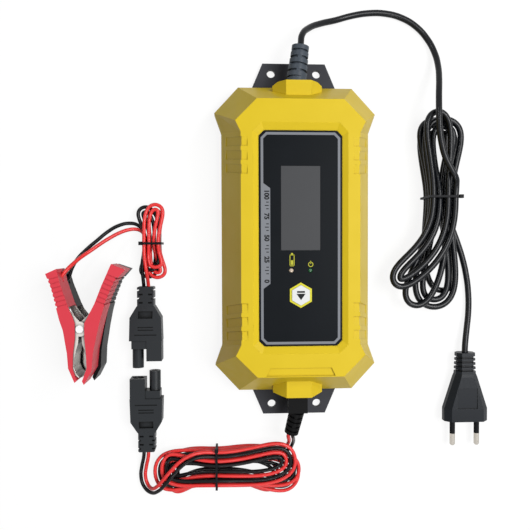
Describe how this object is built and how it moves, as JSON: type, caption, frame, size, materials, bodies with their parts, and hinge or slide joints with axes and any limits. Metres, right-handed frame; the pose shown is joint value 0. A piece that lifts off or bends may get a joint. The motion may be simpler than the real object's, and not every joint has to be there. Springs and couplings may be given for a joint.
{
  "type": "car battery charger",
  "caption": "Wall-hung battery charger with a display panel, a mains lead with a two-pin plug, and a battery lead that ends in sprung clamps.",
  "frame": {"origin": "middle of the case's flat back face, where it rests on the wall or the bench", "axes": "+Z out of the wall towards the display, +Y along the case towards the mains lead, +X to the right seen from the front"},
  "size_m": [0.3183, 0.3607, 0.05],
  "materials": {
    "case_yellow": "satin moulded",
    "case_grey": "fine moulded",
    "gasket_rubber": "matt",
    "screw_steel": "plated",
    "panel_black": "satin",
    "line_grey": "printed",
    "window_grey": "smooth",
    "lcd_glass": "smooth",
    "circuit_green": "lacquered",
    "button_white": "satin",
    "ring_yellow": "satin",
    "mark_black": "printed",
    "part_black": "moulded",
    "light_pale": "clear lens",
    "light_green": "clear lens",
    "cable_pale": "flexible",
    "ferrite": "sintered",
    "winding": "lacquered wire",
    "capacitor_blue": "sleeved",
    "heatsink_grey": "extruded",
    "relief_grey": "soft moulded",
    "relief_black": "soft moulded",
    "cord_black": "satin",
    "wire_red": "satin",
    "wire_black": "satin",
    "plug_black": "moulded",
    "pin_metal": "plated",
    "connector_grey": "moulded",
    "contact_metal": "plated",
    "clamp_red": "satin moulded",
    "clamp_black": "satin moulded",
    "jaw_steel": "plated"
  },
  "bodies": {
    "charger": {"back_cover": "case_grey", "front_shell": "case_yellow", "seal_gasket": "gasket_rubber", "case_screws": "screw_steel", "display_panel": "panel_black", "panel_border": "line_grey", "lcd_window": "window_grey", "lcd_module": "lcd_glass", "display_board": "circuit_green", "display_screws": "screw_steel", "button_ring": "ring_yellow", "tact_switch": "part_black", "status_light": "light_pale", "power_light": "light_green", "ribbon_cable": "cable_pale", "main_board": "circuit_green", "board_screws": "screw_steel", "transformer_core": "ferrite", "transformer_winding": "winding", "input_capacitor": "capacitor_blue", "output_capacitors": "part_black", "choke": "winding", "heatsink": "heatsink_grey", "power_devices": "part_black", "mains_strain_relief": "relief_grey", "dc_strain_relief": "relief_black", "mains_cord": "cord_black", "mains_hank": "cord_black", "cord_ties": "part_black", "plug_body": "plug_black", "plug_sleeves": "part_black", "plug_pins": "pin_metal", "dc_wire_red": "wire_red", "dc_wire_black": "wire_black", "dc_hank_red": "wire_red", "dc_hank_black": "wire_black", "charger_connector": "connector_grey", "charger_contacts": "contact_metal"},
    "button": {"mode_button": "button_white", "button_mark": "mark_black", "switch_plunger": "part_black"},
    "clamp_lead": {"clamp_connector": "connector_grey", "clamp_contacts": "contact_metal", "lead_wire_red": "wire_red", "lead_wire_black": "wire_black", "lead_hank_red": "wire_red", "lead_hank_black": "wire_black", "lead_tie": "part_black", "red_fixed_grip": "clamp_red", "red_fixed_jaw": "jaw_steel", "red_rivet": "jaw_steel", "red_spring": "screw_steel", "black_fixed_grip": "clamp_black", "black_fixed_jaw": "jaw_steel", "black_rivet": "jaw_steel", "black_spring": "screw_steel"},
    "red_clamp_jaw": {"red_moving_grip": "clamp_red", "red_moving_jaw": "jaw_steel"},
    "black_clamp_jaw": {"black_moving_grip": "clamp_black", "black_moving_jaw": "jaw_steel"}
  },
  "joints": [
    {"name": "button_press", "type": "slide", "parent": "charger", "child": "button", "axis": [0, 0, -1], "range_m": [0, 0.0008], "stiffness_N_per_m": 1500, "springref_m": -0.0002},
    {"name": "connector_slide", "type": "slide", "parent": "charger", "child": "clamp_lead", "axis": [0, -1, 0], "range_m": [0, 0.0215]},
    {"name": "red_clamp_open", "type": "hinge", "parent": "clamp_lead", "child": "red_clamp_jaw", "pos_m": [-0.1489, -0.0605, 0.031], "axis": [0, 0, 1], "range_deg": [0, 26], "stiffness_Nm_per_rad": 0.6, "springref_deg": -34.38, "deforming": ["red_spring"]},
    {"name": "black_clamp_open", "type": "hinge", "parent": "clamp_lead", "child": "black_clamp_jaw", "pos_m": [-0.1485, -0.0622, 0.0102], "axis": [0, 0, 1], "range_deg": [0, 26], "stiffness_Nm_per_rad": 0.6, "springref_deg": -34.38, "deforming": ["black_spring"]}
  ]
}
